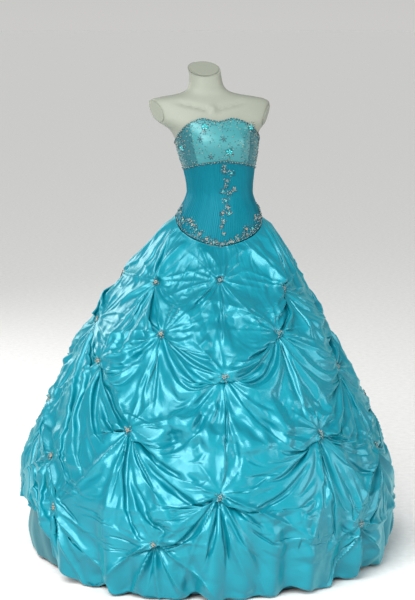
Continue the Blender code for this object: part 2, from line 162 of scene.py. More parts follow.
def formRadius(angle, height, filled=True):
    wide, front, rear = (through(formSections, height, k) for k in (1, 2, 3))
    a = np.radians(angle)
    deep, square = np.where(np.cos(a) > 0, front, rear), body["square"]
    radius = ((np.abs(np.sin(a)) / wide) ** square + (np.abs(np.cos(a)) / deep) ** square) ** (-1 / square)
    off = np.abs(turned(angle)) - body["bustAngle"]
    off = np.maximum(off, 0) if filled else off
    rise = (height - body["bustHeight"]) / body["bustRise"]
    return radius + body["bustOut"] * np.exp(-((off / body["bustSpread"]) ** 2) - rise**2)


def bodiceRadius(angle, height):
    return formRadius(angle, height) + body["clear"]


def basqueAt(angle):
    return through(basqueEdge, np.abs(turned(angle)))


def skirtBase(angle, height):
    # the hoop-wide shape that the overskirt is tacked to
    top = basqueAt(angle)
    spread = 1 - (1 - np.clip((top - height) / hoop["flare"], 0, 1)) ** 2
    start = bodiceRadius(angle, top)
    flare = start + (through(skirtShape, height) - start) * spread
    overForm = bodiceRadius(angle, height) + hoop["overForm"] * smooth((top - height) / hoop["overFormIn"])
    return np.where(height > formSections[0][0], np.maximum(flare, overForm), flare)


def skirtTurn(height):
    # the skirt is turned a little on the form
    return hoop["turn"] * smooth((hoop["turnBelow"] - height) / hoop["turnIn"])


def onSkirt(angle, radius, height):
    return placeAt(angle + skirtTurn(height), radius, height)


def heldAt(angle, height):
    # where the overskirt is tacked down
    return onSkirt(np.float64(angle), skirtBase(np.float64(angle), height) + hoop["tackOut"], height)


# The overskirt is one tube of cloth, cut fuller than the shape under it. At each tack a patch of cloth is drawn
# up to a point. The cloth is then let down under its own weight, pushed out a little by "air" as if it were
# stiff, and drawn back where it stands out more than "puff".
overskirt = {
    "columns": 704, "rows": 344, "seed": 41,
    "fullAcross": 1.22, "fullDown": 1.21, "fullHem": 1.03, "fullAbove": 0.10, "fullOver": 0.25, "uneven": 0.05,
    "puff": 0.029, "drawBack": 0.35, "offShape": 0.0015, "offFloor": 0.008, "seamDrop": 0.0015,
    "slope": 1.12,
    "ray": 0.011, "rayCount": (9, 14), "rayLong": 0.11, "rayLower": 0.05, "raySway": 0.6, "rayFrom": 0.02,
    "pinch": 0.036, "pinchLeft": 0.22, "pinchReach": 0.165, "held": 0.016,
    "steps": 60, "stepsFine": 16, "passes": 6, "glide": 0.92, "glideLate": 0.75, "late": 0.6,
    "pull": 0.95, "slant": 0.35, "bend": 0.012, "weight": 0.00012, "air": 0.00010,
    "startPuff": 0.030, "startHem": 0.014, "startOut": 0.002, "raisedAt": -89, "raisedHalf": 30,
    "hemFolds": ((13, 0.5, 0.6), (23, 0.4, 2.1), (37, 0.35, 4.0)),  # how many, how tall, where they start
    "turnUnder": 0.012, "thick": 0.0016, "threadAcross": 0.0033, "threadDown": 0.0043,
}
uneven = {"seed": 7, "waves": 26, "around": (9, 60), "rise": 55, "most": 4.5}
anyTurn = 6.28  # about a whole turn, for a random start


def tackPlaces(chance):
    # (angle, height, cloth drawn up) of each tack
    return [(a, h, overskirt["pinch"] * (0.85 + 0.3 * chance.random())) for a, h in tacks]


def clothGrid(columns, rows):
    # even steps down each column, from the basque seam to the hem, on the shape under the cloth
    angles = -180 + 360 * (np.arange(columns) + 0.5) / columns
    top, hem = basqueAt(angles) - overskirt["seamDrop"], through(hemEdge, turned(angles))
    heights = top + (hem - top) * np.linspace(0, 1, 90)[:, None]
    radii = skirtBase(angles[None, :], heights)
    steps = np.hypot(np.diff(radii, axis=0), np.diff(heights, axis=0))
    run = np.concatenate([np.zeros((1, columns)), np.cumsum(steps, axis=0)])
    made = np.empty((rows, columns))
    for i in range(columns):
        made[:, i] = np.interp(np.linspace(0, run[-1, i], rows), run[:, i], heights[:, i])
    return np.broadcast_to(angles, made.shape).copy(), made


def fromTack(angles, heights, angle, height):
    # how far the cloth is from a tack: across, up and straight
    across = float(through(skirtShape, height)) * np.radians(turned(angles - angle))
    up = overskirt["slope"] * (heights - height)
    return across, up, np.hypot(across, up)


def drawnUp(angles, heights, places):
    # where the cloth goes as each patch is drawn up to its tack, and how near each point's tack is
    moved, lifted = angles.copy(), heights.copy()
    near = np.full(angles.shape, 9.0)
    belowSeam = smooth((basqueAt(angles) - heights) / 0.055)
    reach, left = overskirt["pinchReach"], overskirt["pinchLeft"]
    for angle, height, pinch in places:
        gap = fromTack(angles, heights, angle, height)[2]
        near = np.minimum(near, gap)
        eased = pinch * (1 - smooth((gap - pinch) / (reach - pinch)))
        pulled = (1 - left) * np.where(gap < pinch, gap, eased)
        share = belowSeam * pulled / np.maximum(gap, 1e-6)
        moved -= turned(angles - angle) * share * (gap < reach)
        lifted -= (heights - height) * share * (gap < reach)
    return moved, lifted, near


def rays(angles, heights, places, chance):
    # folds that fan out from each tack, uneven, longest below it
    out = np.zeros(angles.shape)
    for angle, height, _ in places:
        across, up, gap = fromTack(angles, heights, angle, height)
        way = np.arctan2(across, up)
        count, start = chance.integers(*overskirt["rayCount"]), chance.random() * anyTurn
        wave = np.cos(count * way + start + overskirt["raySway"] * np.sin(2 * way + chance.random() * anyTurn))
        long = overskirt["rayLong"] + overskirt["rayLower"] * smooth(-up / np.maximum(gap, 1e-6))
        out += overskirt["ray"] * wave * np.exp(-((gap / long) ** 2)) * smooth(gap / overskirt["rayFrom"])
    return out


def hemWave(angle):
    # the uneven upright folds that hang to the hem
    a = np.radians(angle)
    return sum(tall * np.cos(count * a + start) for count, tall, start in overskirt["hemFolds"])


def raised(angle):
    # where the hem is raised and lies in on the plain underskirt
    return np.abs(angle - overskirt["raisedAt"]) < overskirt["raisedHalf"]


def mixedAt(field, angle, height, low, high):
    # a value from a table over angle and height, between its rows and columns
    rows, columns = field.shape
    x = (turned(angle) + 180) / 360 * columns - 0.5
    y = np.clip((height - low) / (high - low) * (rows - 1), 0, rows - 1.001)
    i, j = np.floor(x).astype(int), np.floor(y).astype(int)
    fx, fy = x - i, y - j
    a, b = i % columns, (i + 1) % columns
    return (
        (field[j, a] * (1 - fx) + field[j, b] * fx) * (1 - fy)
        + (field[j + 1, a] * (1 - fx) + field[j + 1, b] * fx) * fy
    )


def unevenness(angles, heights):
    # slow random change over the cloth, -1 to 1, the same on every grid
    waves = np.random.default_rng(uneven["seed"])
    a = np.radians(angles)
    out = np.zeros(angles.shape)
    for _ in range(uneven["waves"]):
        around, rise = waves.integers(*uneven["around"]), waves.normal(0, uneven["rise"])
        out += np.cos(around * a + rise * heights + waves.random() * anyTurn)
    return np.clip(out / uneven["most"], -1, 1)


def pull(points, first, second, rest, share, free):
    # brings neighbouring points of cloth to their distance apart
    a, b = points[(slice(None), *first)], points[(slice(None), *second)]
    x, y, z = b[0] - a[0], b[1] - a[1], b[2] - a[2]
    length = np.sqrt(x * x + y * y + z * z)
    freeA, freeB = free[first], free[second]
    scale = share * (length - rest[first]) / np.maximum(length * (freeA + freeB), 1e-9)
    for k, part in enumerate((x, y, z)):
        part *= scale
        a[k] += part * freeA
        b[k] -= part * freeB


def joined(points):
    # the columns past each end are the first and last ones again
    points[..., 0], points[..., -1] = points[..., -2], points[..., 1]


def packed(values):
    # components first, with a column more at each end
    wide = np.moveaxis(np.atleast_3d(values), -1, 0).astype(np.float32)
    wide = np.concatenate([wide[..., -1:], wide, wide[..., :1]], axis=-1)
    return wide if values.ndim == 3 else wide[0]


def settle(points, cut, free, steps, keepOut):
    # lets the cloth down: across, down and slanting threads keep their length, folds resist a little
    points = packed(points)
    restAcross, restDown, restSlant = (packed(rest) for rest in cut)
    _, rows, columns = points.shape
    before, whole = points.copy(), slice(None)
    real, ahead, behind = slice(1, columns - 1), slice(2, columns), slice(0, columns - 2)
    stiff, slant, bend = overskirt["pull"], overskirt["slant"], overskirt["bend"]
    for step in range(steps):
        x, y, radius = fromMiddle(*points)
        calm = overskirt["glide"] if step < steps * overskirt["late"] else overskirt["glideLate"]
        moved = points + calm * (points - before) * free
        before = points
        moved[0] += overskirt["air"] * x / radius * free
        moved[1] += overskirt["air"] * y / radius * free
        moved[2] -= overskirt["weight"] * free
        points = moved
        for _ in range(overskirt["passes"]):
            for start in (1, 2):
                first, second = slice(start, columns - 1, 2), slice(start + 1, columns, 2)
                pull(points, (whole, first), (whole, second), restAcross, stiff, free)
                if start == 2:
                    points[..., 1] = points[..., -1]
                joined(points)
            for start in (0, 1):
                first, second = slice(start, rows - 1, 2), slice(start + 1, rows, 2)
                pull(points, (first, whole), (second, whole), restDown, stiff, free)
                pull(points, (first, real), (second, ahead), restSlant, slant, free)
                points[:, second, 1] = points[:, second, -1]
                joined(points)
                pull(points, (first, real), (second, behind), restSlant, slant, free)
                points[:, second, -2] = points[:, second, 0]
                joined(points)
            inner = points[..., real]
            even = 0.5 * (points[..., behind] + points[..., ahead]) - inner
            inner += bend * even * free[:, real]
            joined(points)
            points[:, 1:-1] += bend * (0.5 * (points[:, 2:] + points[:, :-2]) - points[:, 1:-1]) * free[1:-1]
            keepOut(points, free)
    return np.moveaxis(points[..., 1:-1], 0, -1)


def cutThreads(angles, heights):
    # the lengths that the cloth is cut to between its points: across, down and slanting
    flat = onSkirt(angles, skirtBase(angles, heights), heights)
    lower = smooth((basqueAt(angles) - heights) / 0.10)
    patchy = 1 + overskirt["uneven"] * unevenness(angles, heights)
    fullA = 1 + (overskirt["fullAcross"] * patchy - 1) * lower
    higher = smooth((heights - overskirt["fullAbove"]) / overskirt["fullOver"])
    downFull = overskirt["fullHem"] + (overskirt["fullDown"] - overskirt["fullHem"]) * higher
    fullD = 1 + (downFull * (2 - patchy) - 1) * lower
    across = np.linalg.norm(np.roll(flat, -1, axis=1) - flat, axis=-1) * fullA
    down = np.linalg.norm(np.diff(flat, axis=0), axis=-1)
    down = np.concatenate([down, down[-1:]]) * fullD
    return across, down, np.hypot(across, down)


def freedom(near, angles):
    # which points of cloth may move: not the seam, the tacks or the raised hem
    free = np.ones(near.shape)
    free[0] = 0
    free[near < overskirt["held"]] = 0
    free[-1, raised(angles[-1])] = 0
    return packed(free)


def finer(values):
    # twice as many rows and columns
    rows, columns, _ = values.shape
    wide = np.empty((rows, columns * 2, 3), np.float32)
    wide[:, 0::2] = 0.75 * values + 0.25 * np.roll(values, 1, axis=1)
    wide[:, 1::2] = 0.75 * values + 0.25 * np.roll(values, -1, axis=1)
    at = np.linspace(0, rows - 1, rows * 2)
    j = np.minimum(np.floor(at).astype(int), rows - 2)
    f = (at - j)[:, None, None].astype(np.float32)
    return wide[j] * (1 - f) + wide[j + 1] * f


def makeOverskirt():
    chance = np.random.default_rng(overskirt["seed"])
    places = tackPlaces(chance)
    low, high = 0.0, 1.12
    tableAngles = -180 + 360 * (np.arange(360) + 0.5) / 360
    base = skirtBase(tableAngles[None, :], np.linspace(low, high, 225)[:, None]) + overskirt["offShape"]

    def keepOut(points, free):
        # outside the shape under the cloth, drawn back where it puffs out too far, and off the floor
        x, y, radius = fromMiddle(*points)
        angle = np.degrees(np.arctan2(x, -y)) - skirtTurn(points[2])
        inside = mixedAt(base, angle, points[2], low, high)
        short = np.maximum(inside - radius, 0) / radius * free
        points[0] += x * short
        points[1] += y * short
        over = np.maximum(radius - inside - overskirt["puff"], 0) * overskirt["drawBack"] / radius * free
        points[0] -= x * over
        points[1] -= y * over
        points[2] = np.maximum(points[2], floorLevel + overskirt["offFloor"])

    angles, heights = clothGrid(overskirt["columns"] // 2, overskirt["rows"] // 2)
    moved, lifted, near = drawnUp(angles, heights, places)
    seed = rays(angles, heights, places, chance)
    seed += overskirt["startHem"] * hemWave(angles) * smooth((0.34 - heights) / 0.3)
    top = smooth((basqueAt(angles) - heights) / 0.09)
    puff = overskirt["startPuff"] * smooth((near - 0.02) / 0.10) * top
    tucked = 1 - np.exp(-(((heights - through(hemEdge, turned(angles))) / 0.03) ** 2)) * raised(angles)
    radius = skirtBase(moved, lifted) + overskirt["startOut"] + np.maximum(puff + seed * top, 0) * tucked
    points = onSkirt(moved, radius, lifted)
    cut = cutThreads(angles, heights)
    points = finer(settle(points, cut, freedom(near, angles), overskirt["steps"], keepOut))
    # a shorter settling, now that the cloth is twice as fine
    angles, heights = clothGrid(points.shape[1], points.shape[0])
    near, cut = drawnUp(angles, heights, places)[2], cutThreads(angles, heights)
    points = settle(points, cut, freedom(near, angles), overskirt["stepsFine"], keepOut)
    return points, angles, places, (cut[0], cut[1][:-1])


crisp = {
    "seed": 23, "start": 6,
    "ray": 0.0155, "rayCount": (10, 14), "rayLong": (0.11, 0.23), "rayTall": (0.45, 1.0), "rayBow": 0.8,
    "rayAskew": 0.28, "rayWide": 0.003, "raySpread": 0.058, "rayReach": 0.34, "rayLower": 0.35, "rayTaper": 0.7,
    "toHem": 0.36, "toHemTall": 2.0, "toHemSpread": 0.036, "toHemBelow": 0.52, "toHemDown": 0.35,
    "taut": 0.0060, "tautWide": 0.0060, "neighbour": 0.30, "tautRise": 0.06, "tautSway": 0.006,
    "fromSeam": 0.014, "fromSeamWide": 0.013, "seamDrop": 0.006,
    "crumple": 0.072, "crumpleWaves": (0.044, 0.056, 0.070, 0.088, 0.11, 0.14, 0.18), "warp": 0.016,
    "patch": 0.27, "patches": 0.30, "leastCrushed": 0.22,
    "calmed": 0.045, "calmHem": 0.17, "calmPasses": 14, "proud": 0.004, "upper": 0.009, "fullest": 0.042,
    "held": 0.50, "hem": 0.024, "hemRise": 0.015, "hemShift": 4, "offShape": 0.0012, "offFloor": 0.006,
}


def tackFrames(places):
    # each tack's place on the skirt, with the ways across it, up it and out of it
    for angle, height, _ in places:
        held = heldAt(angle, height)
        out = held - np.array([*middleOf(np.float64(height)), height])
        out = out / np.linalg.norm(out) + np.array([0, 0, hoop["tackTilt"]])
        out /= np.linalg.norm(out)
        across = np.cross([0, 0, 1], out)
        across /= np.linalg.norm(across)
        yield held, np.stack([across, np.cross(out, across), out])


# folds that hang slanting from the basque seam: angle at the seam, angle and height of the tack they run to
seamFolds = [
    (-36, 0, 0.918), (-20, 0, 0.918), (30, 0, 0.918), (46, 50, 0.882), (34, 50, 0.882), (62, 50, 0.882),
    (-48, -50, 0.908), (-66, -50, 0.908), (-80, -102, 0.900), (-112, -102, 0.900), (84, 102, 0.898),
    (118, 102, 0.898), (-140, -155, 0.910), (-168, -155, 0.910), (142, 155, 0.905), (170, 155, 0.905),
]


def tautLines(places):
    # (start, end, height, width) of every ridge of cloth pulled straight between two held places
    held = [(heldAt(angle, height), height) for angle, height, _ in places]
    for i, (a, highA) in enumerate(held):
        for b, highB in held[i + 1 :]:
            if np.linalg.norm(b - a) < crisp["neighbour"] and abs(highA - highB) > crisp["tautRise"]:
                yield a, b, crisp["taut"], crisp["tautWide"]
    for seamAngle, angle, height in seamFolds:
        top = float(basqueAt(seamAngle)) - crisp["seamDrop"]
        yield heldAt(seamAngle, top), heldAt(angle, height), crisp["fromSeam"], crisp["fromSeamWide"]


def calmedNear(points, near):
    # evens out the bunched cloth close to each tack and at the hem, where it would fold through itself
    share = 0.5 * smooth((crisp["calmed"] - near) / 0.02).reshape(points.shape[:2])
    share = np.maximum(share, 0.5 * smooth((crisp["calmHem"] - points[..., 2]) / 0.08))[..., None]
    for _ in range(crisp["calmPasses"]):
        beside = 0.5 * (np.roll(points, 1, axis=1) + np.roll(points, -1, axis=1))
        even = 0.5 * beside[1:-1] + 0.25 * (points[2:] + points[:-2])
        points[1:-1] += share[1:-1] * (even - points[1:-1])
        points[-1] += share[-1] * (beside[-1] - points[-1])
    return points


def addRays(rise, flat, frames, places, chance):
    # straight tapering rays at each tack, on to the hem from the lower tacks
    for (held, ways), (_, height, _) in zip(frames, places):
        apart = flat - held
        close = np.flatnonzero((apart**2).sum(1) < crisp["rayReach"] ** 2)
        x, y = apart[close] @ ways[0], apart[close] @ ways[1]
        gap, way = np.hypot(x, y), np.arctan2(x, y)
        count = chance.integers(*crisp["rayCount"])
        for k in range(count):
            toward = 2 * math.pi * (k + chance.uniform(-crisp["rayAskew"], crisp["rayAskew"])) / count
            long, tall = chance.uniform(*crisp["rayLong"]), chance.uniform(*crisp["rayTall"])
            bow, low = chance.normal(0, crisp["rayBow"]), -math.cos(toward)
            long, spread = long * (1 + crisp["rayLower"] * max(low, 0)), crisp["raySpread"]
            if low > crisp["toHemDown"] and height < crisp["toHemBelow"]:
                long, tall, spread = crisp["toHem"], crisp["toHemTall"] * tall, crisp["toHemSpread"]
            off = (way - toward - bow * gap + math.pi) % (2 * math.pi) - math.pi
            ridge = np.exp(-(np.abs(off) * gap / (crisp["rayWide"] + spread * gap)))
            ends = np.clip(1 - gap / long, 0, 1) ** crisp["rayTaper"]
            rise[close] += crisp["ray"] * tall * ridge * smooth(gap / 0.05) * ends


def addTaut(rise, flat, places):
    # ridges of cloth pulled straight between tacks, and from the seam to the first of them
    for a, b, tall, wide in tautLines(places):
        span, middle = b - a, (a + b) / 2
        long = np.linalg.norm(span)
        close = np.flatnonzero(((flat - middle) ** 2).sum(1) < (0.55 * long) ** 2)
        side = np.cross(middle - np.array([*middleOf(np.float64(middle[2])), middle[2]]), span)
        side /= np.linalg.norm(side)
        share = (flat[close] - a) @ span / long**2
        off = (flat[close] - a) @ side - crisp["tautSway"] * np.sin(share * 5 + long * 90)
        ends = smooth(share / 0.15) * smooth((1 - share) / 0.15)
        rise[close] += tall * np.exp(-((np.abs(off) / wide) ** 1.3)) * ends


def addCrumples(rise, flat, calm, chance):
    # flat-sided crumples of several sizes, each in patches of its own
    warped = flat + crisp["warp"] * np.sin(flat[:, [1, 2, 0]] * 19 + 1.7)
    for long in crisp["crumpleWaves"]:
        toward, slow = chance.normal(size=3), chance.normal(size=3)
        toward, slow = toward / np.linalg.norm(toward), slow / np.linalg.norm(slow)
        phase = 2 * np.pi * (warped @ toward) / long + chance.random() * crisp["start"]
        fold = np.arcsin(np.sin(phase)) * 2 / np.pi
        phase = 2 * np.pi * (flat @ slow) / crisp["patch"] + chance.random() * crisp["start"]
        rise += crisp["crumple"] * long * fold * smooth(0.30 + 0.95 * np.sin(phase)) * calm


def calmAt(flat, near, chance):
    # how crumpled the cloth is, 0 to 1: less near a tack, the seam and the hem, and more in some places
    high = flat[:, 2]
    calm = smooth((near - 0.03) / 0.07) * smooth((1.03 - high) / 0.06)
    calm *= (0.25 + 0.75 * smooth((0.95 - high) / 0.10)) * (0.75 + 0.25 * smooth((high - 0.12) / 0.30))
    crushed = np.zeros(len(flat))
    for _ in range(4):
        slow = chance.normal(size=3)
        phase = 2 * np.pi * (flat @ slow) / np.linalg.norm(slow) / crisp["patches"]
        crushed += np.sin(phase + chance.random() * crisp["start"])
    least = crisp["leastCrushed"]
    return calm * (least + (1 - least) * smooth(0.30 + 0.45 * crushed))


def crease(points, places):
    # stiff cloth: its rays, taut ridges, crumples and the upright folds at its hem, laid over the settled shape
    chance = np.random.default_rng(crisp["seed"])
    points = points.astype(float)
    frames = list(tackFrames(places))
    near = np.full(points.shape[0] * points.shape[1], 9.0)
    for held, ways in frames:
        apart = points.reshape(-1, 3) - held
        near = np.minimum(near, np.hypot(apart @ ways[0], apart @ ways[1]) + 9.0 * (apart @ ways[2] < -0.2))
    flat = calmedNear(points, near).reshape(-1, 3)
    high, rise = flat[:, 2], np.zeros(len(flat))
    addRays(rise, flat, frames, places, chance)
    addTaut(rise, flat, places)
    calm = calmAt(flat, near, chance)
    addCrumples(rise, flat, calm, chance)
    x, y, radius = fromMiddle(*flat.T)
    angle = np.degrees(np.arctan2(x, -y)) - skirtTurn(high)
    upper = smooth((1.00 - high) / 0.08) * smooth((high - 0.66) / 0.10)
    reach = radius + rise + (crisp["proud"] + crisp["upper"] * upper) * calm
    inside = skirtBase(angle, high)
    reach -= (1 - crisp["held"]) * np.maximum(reach - inside - crisp["fullest"], 0)
    fluted = reach + crisp["hem"] * hemWave(angle) * smooth((0.34 - high) / 0.32)
    further = np.maximum(fluted, inside + crisp["offShape"]) / radius - 1
    lifted = high + crisp["hemRise"] * hemWave(angle + crisp["hemShift"]) * smooth((0.12 - high) / 0.10)
    level = np.maximum(lifted, floorLevel + crisp["offFloor"])
    moved = np.stack([flat[:, 0] + x * further, flat[:, 1] + y * further, level], axis=-1)
    seam = np.arange(len(points))[:, None, None] < 2
    return np.where(seam, points, moved.reshape(points.shape))


def inScene(name, data):
    made = bpy.data.objects.new(name, data)
    bpy.context.scene.collection.objects.link(made)
    return made


def meshPiece(name, points, faces):
    # a smooth mesh over points, its faces all of as many corners
    mesh = bpy.data.meshes.new(name)
    mesh.vertices.add(len(points))
    mesh.vertices.foreach_set("co", np.ascontiguousarray(points, np.float32).ravel())
    mesh.loops.add(faces.size)
    mesh.loops.foreach_set("vertex_index", faces.ravel().astype(np.int32))
    mesh.polygons.add(len(faces))
    mesh.polygons.foreach_set("loop_start", np.arange(0, faces.size, faces.shape[1], dtype=np.int32))
    mesh.update(calc_edges=True)
    mesh.shade_smooth()
    return inScene(name, mesh)


def gridPiece(name, points, flat=None, normals=None):
    # a mesh over rows and columns of points: rows run down it, and columns from left to right seen from outside
    rows, columns = points.shape[:2]
    index = np.arange(rows * columns).reshape(rows, columns)
    faces = np.stack([index[:-1, :-1], index[1:, :-1], index[1:, 1:], index[:-1, 1:]], axis=-1).reshape(-1, 4)
    piece = meshPiece(name, points.reshape(-1, 3), faces)
    if flat is None:
        wide = np.linalg.norm(np.diff(points, axis=1), axis=-1).mean(0)
        tall = np.linalg.norm(np.diff(points, axis=0), axis=-1).mean(1)
        across, down = (np.concatenate([[0], np.cumsum(steps)]) for steps in (wide, tall))
        flat = np.stack(np.broadcast_arrays(across[None, :], -down[:, None]), axis=-1)
    layer = piece.data.uv_layers.new(name="cut")
    layer.data.foreach_set("uv", np.ascontiguousarray(flat.reshape(-1, 2)[faces.ravel()], np.float32).ravel())
    if normals is not None:
        piece.data.normals_split_custom_set_from_vertices(normals.reshape(-1, 3).tolist())
    return piece


def gridNormals(points, closed=False):
    # the way that each point of a grid faces
    if closed:
        across = np.roll(points, -1, axis=1) - np.roll(points, 1, axis=1)
    else:
        across = np.gradient(points, axis=1)
    out = np.cross(np.gradient(points, axis=0), across)
    return out / np.maximum(np.linalg.norm(out, axis=-1, keepdims=True), 1e-12)


def turnedUnder(points, normals, wide, thick, rowsMore=4):
    # the last row's cloth turned under, to the inside, as at a hem
    up = points[-4] - points[-1]
    up /= np.linalg.norm(up, axis=-1, keepdims=True)
    inward = -normals[-1]
    more = [points[-1] + inward * thick * 0.5 - up * thick * 0.35, points[-1] + inward * thick]
    more += [points[-1] + inward * thick + up * wide * k / rowsMore for k in range(1, rowsMore + 1)]
    return np.concatenate([points, np.stack(more)])


def wear(piece, node, finish):
    # everything a piece of the gown needs: its body, the solid it stands for and its material
    piece.data.materials.append(finish)
    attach(piece, "root")
    if node:
        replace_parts(piece, node)
    return piece


def cutCloth(piece, across, down, held, restsOn, hemmed=0.0):
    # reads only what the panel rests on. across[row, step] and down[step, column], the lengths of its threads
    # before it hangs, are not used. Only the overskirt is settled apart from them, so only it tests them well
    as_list(restsOn)


def threads(points):
    # the lengths of a plain surface's threads, across it and down it
    across = np.linalg.norm(np.diff(points, axis=1), axis=-1)
    return across, np.linalg.norm(np.diff(points, axis=0), axis=-1)


def setInputs(tree, node, inputs):
    # gives each input its value, or links it to an output, or to the first output of a node
    for name, value in inputs.items():
        if isinstance(value, bpy.types.Node):
            value = value.outputs[0]
        if isinstance(value, bpy.types.NodeSocket):
            tree.links.new(value, node.inputs[name])
        else:
            node.inputs[name].default_value = value


def addNode(tree, kind, inputs=None, **settings):
    node = tree.nodes.new("ShaderNode" + kind)
    for name, value in settings.items():
        setattr(node, name, value)
    setInputs(tree, node, inputs or {})
    return node


def addRamp(tree, share, stops):
    # colours by position, from stops of (position, colour)
    ramp = addNode(tree, "ValToRGB", {0: share})
    ends = ramp.color_ramp.elements
    ends[0].color, ends[1].color = (*stops[0][1], 1), (*stops[-1][1], 1)
    ends[1].position = stops[-1][0]
    for position, colour in stops[1:-1]:
        ends.new(position).color = (*colour, 1)
    return ramp


def newFinish(name):
    made = bpy.data.materials.new(name)
    made.use_nodes = True
    return made, made.node_tree, made.node_tree.nodes["Principled BSDF"]


# what every cloth shares: threads and facets to a metre each way, how deep its bumps are, and where its colour
# turns to painted shade and to painted sheen
weave = {
    "warp": (2600, 160, 1), "weft": (120, 2600, 1), "thread": 0.0002, "threadShare": 0.20,
    "slubs": 42.0, "slubBend": 1.2, "slub": 0.0008, "slubShare": 0.35,
    "facets": (15, 8, 1), "facetBend": (0.09, 0.09, 0), "facetBends": 7.0,
    "clouds": 5.0, "cloudShare": 0.25, "facing": 0.45, "paintedShadeAt": 0.35, "paintedSheenAt": 0.92,
    "tint": (0.78, 1.0, 1.0, 1), "sheenRough": 0.4,
}


def clothFinish(name, tone, deep, paintedSheen, rough, metal, crumple=1.0, sheen=0.1, gloss=0.55, crush=0.0):
    # woven cloth with a sheen: fine threads, slubs and small crumples as bump, and painted shade and a pale
    # painted sheen in its colour, by how far it faces away from the eye
    made, tree, shader = newFinish(name)
    at = addNode(tree, "UVMap", uv_map="cut")

    def noise(where, scale, detail, **more):
        return addNode(tree, "TexNoise", {"Vector": where, "Scale": scale, "Detail": detail, **more})

    def scaled(where, scale):
        return addNode(tree, "Mapping", {"Vector": where, "Scale": scale})

    warp, weft = (noise(scaled(at, weave[way]), 1.0, 2.0) for way in ("warp", "weft"))
    both = addNode(tree, "Math", {0: warp, 1: weft}, operation="ADD")
    slubs = noise(at, weave["slubs"], 3.0, Distortion=weave["slubBend"])
    soft = addNode(
        tree, "Bump", {"Height": slubs, "Strength": weave["slubShare"], "Distance": weave["slub"] * crumple}
    )
    fine = {"Height": both, "Strength": weave["threadShare"], "Distance": weave["thread"], "Normal": soft}
    if crush:
        # sharp-edged facets where stiff cloth has been crushed, longer down the cloth than across it
        bent = noise(at, weave["facetBends"], 1.0).outputs["Color"]
        shifted = addNode(tree, "VectorMath", {0: bent, 1: weave["facetBend"], 2: at}, operation="MULTIPLY_ADD")
        facets = {"Vector": scaled(shifted, weave["facets"]), "Scale": 1.0}
        facets = addNode(tree, "TexVoronoi", facets, feature="DISTANCE_TO_EDGE").outputs["Distance"]
        crushed = addNode(tree, "Bump", {"Height": facets, "Strength": 1.0, "Distance": crush})
        setInputs(tree, soft, {"Normal": crushed})
    # painted light: the colour goes from its tone to a darker painted shade and then to a pale painted sheen as
    # the cloth faces away from the eye
    facing = addNode(tree, "LayerWeight", {"Blend": weave["facing"], "Normal": soft}).outputs["Facing"]
    ramp = addRamp(tree, facing, [(0, tone), (weave["paintedShadeAt"], deep), (weave["paintedSheenAt"], paintedSheen)])
    cloudy = noise(at, weave["clouds"], 3.0)
    shade = addNode(tree, "MixRGB", {0: weave["cloudShare"], 1: ramp, 2: cloudy}, blend_type="MULTIPLY")
    setInputs(tree, shader, {
        "Normal": addNode(tree, "Bump", fine), "Base Color": shade, "Roughness": rough, "Metallic": metal,
        "Specular IOR Level": gloss, "Specular Tint": weave["tint"], "Sheen Weight": sheen,
        "Sheen Roughness": weave["sheenRough"], "Sheen Tint": (*paintedSheen, 1),
    })
    return made


def hardFinish(name, colour, rough, metal=0.0, grain=600.0, bump=0.0001, coat=0.0):
    # a hard surface, finely grained and a little paler here and there
    made, tree, shader = newFinish(name)
    at = addNode(tree, "TexCoord").outputs["Object"]
    speck = addNode(tree, "TexNoise", {"Vector": at, "Scale": grain, "Detail": 3.0})
    paler = [min(1, c * 1.25 + 0.02) for c in colour]
    setInputs(tree, shader, {
        "Normal": addNode(tree, "Bump", {"Height": speck, "Strength": 0.4, "Distance": bump}),
        "Base Color": addNode(tree, "MixRGB", {0: speck, 1: (*colour, 1), 2: (*paler, 1)}, blend_type="MIX"),
        "Roughness": rough, "Metallic": metal, "Coat Weight": coat,
    })
    return made


# each cloth's colours: its tone, then the darker painted shade and the pale painted sheen that its colour turns
# to away from the eye
taffeta = clothFinish(
    "taffeta", (0.000, 0.285, 0.372), (0.000, 0.205, 0.280), (0.006, 0.38, 0.45), 0.32, 0.14,
    sheen=0.0, gloss=0.62, crush=0.0050,
)
pleated = clothFinish(
    "pleatedTaffeta", (0.000, 0.165, 0.225), (0.000, 0.120, 0.172), (0.002, 0.20, 0.26), 0.50, 0.16,
    crumple=0.2, sheen=0.0, gloss=0.14,
)
plainTaffeta = clothFinish(
    "plainTaffeta", (0.000, 0.145, 0.195), (0.000, 0.098, 0.145), (0.02, 0.24, 0.28), 0.46, 0.1,
    crumple=0.5, crush=0.003,
)
# the bust satin in two copies: a paler one for the front panel, lit, and a darker one for the side and back
# panels, painted shade
satin = clothFinish(
    "bustSatin", (0.060, 0.280, 0.300), (0.030, 0.225, 0.250), (0.19, 0.40, 0.41), 0.36, 0.05, crumple=0.3,
)
sideSatinPaintedShade = clothFinish(
    "sideSatinPaintedShade", (0.012, 0.150, 0.178), (0.006, 0.105, 0.130), (0.10, 0.29, 0.31), 0.34, 0.05, crumple=0.3,
)
creamForm = hardFinish("creamForm", (0.215, 0.232, 0.190), 0.62, grain=900, bump=0.00012)
steel = hardFinish("brushedSteel", (0.60, 0.61, 0.62), 0.25, metal=1.0)
darkBead = hardFinish("darkBead", (0.010, 0.085, 0.110), 0.20, metal=0.30, coat=0.5)
silverBead = hardFinish("silverBead", (0.17, 0.27, 0.28), 0.32, metal=0.50)
goldBead = hardFinish("goldBead", (0.36, 0.28, 0.20), 0.36, metal=0.35)
blueStone = hardFinish("blueStone", (0.00, 0.50, 0.52), 0.16, metal=0.20, coat=0.7)

